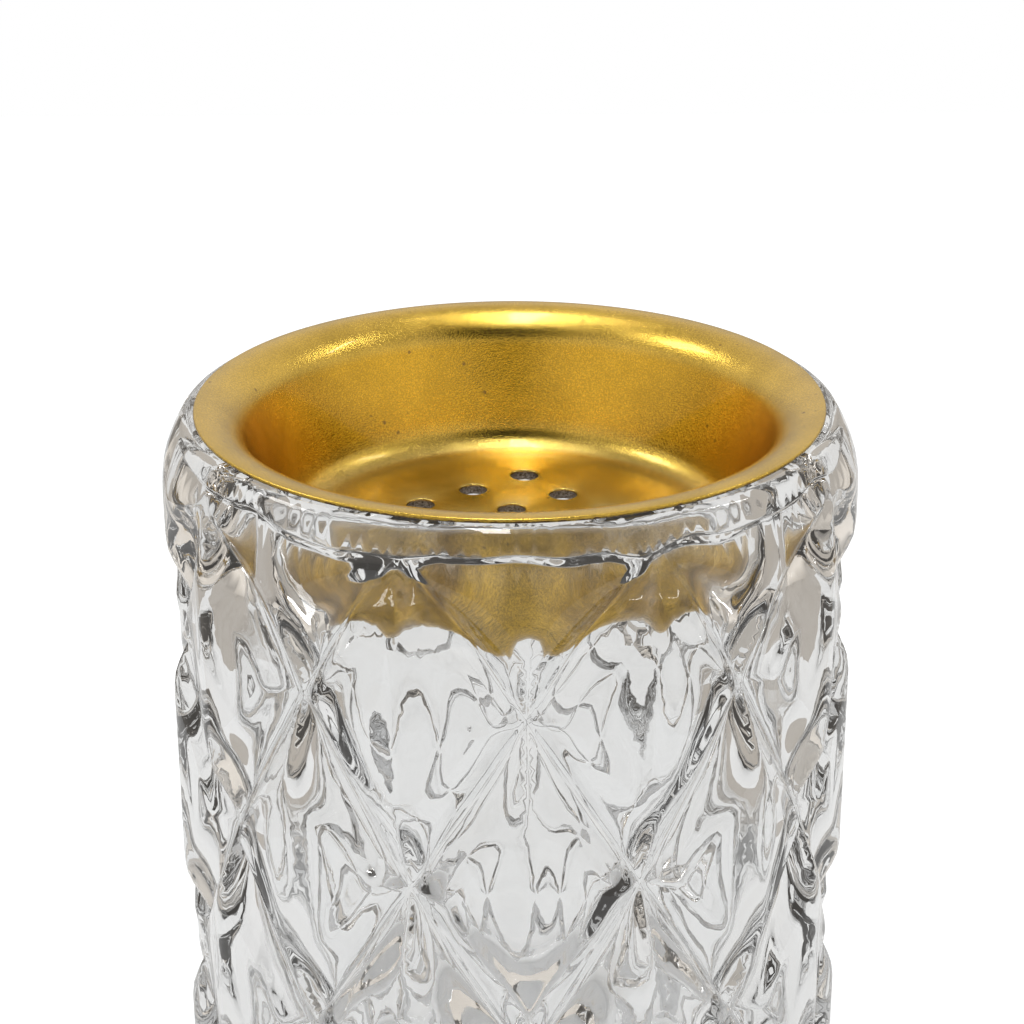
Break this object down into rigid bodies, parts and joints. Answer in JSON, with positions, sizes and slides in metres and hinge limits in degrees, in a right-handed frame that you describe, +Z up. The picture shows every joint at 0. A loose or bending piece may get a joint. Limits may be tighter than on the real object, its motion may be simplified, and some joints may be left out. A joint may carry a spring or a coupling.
{
  "type": "glass incense burner",
  "caption": "Heavy pressed clear-glass incense burner with diamond cushions cut by spiral grooves, and a lift-out gold-tone metal charcoal cup with a perforated floor.",
  "frame": {"origin": "centre of the underside, at the level it stands on", "axes": "+Z up along the glass's axis; -Y is the side that faces the picture's camera"},
  "size_m": [0.0752, 0.0758, 0.104],
  "materials": {
    "clear_glass": "fire-polished clear pressed glass",
    "gold_finish": "satin metallic gold over stamped sheet steel"
  },
  "bodies": {
    "glass": {"glass_body": "clear_glass"},
    "cup": {"charcoal_cup": "gold_finish"}
  },
  "joints": [
    {"name": "cup_lift", "type": "slide", "parent": "glass", "child": "cup", "axis": [0, 0, 1], "range_m": [0, 0.04]}
  ]
}
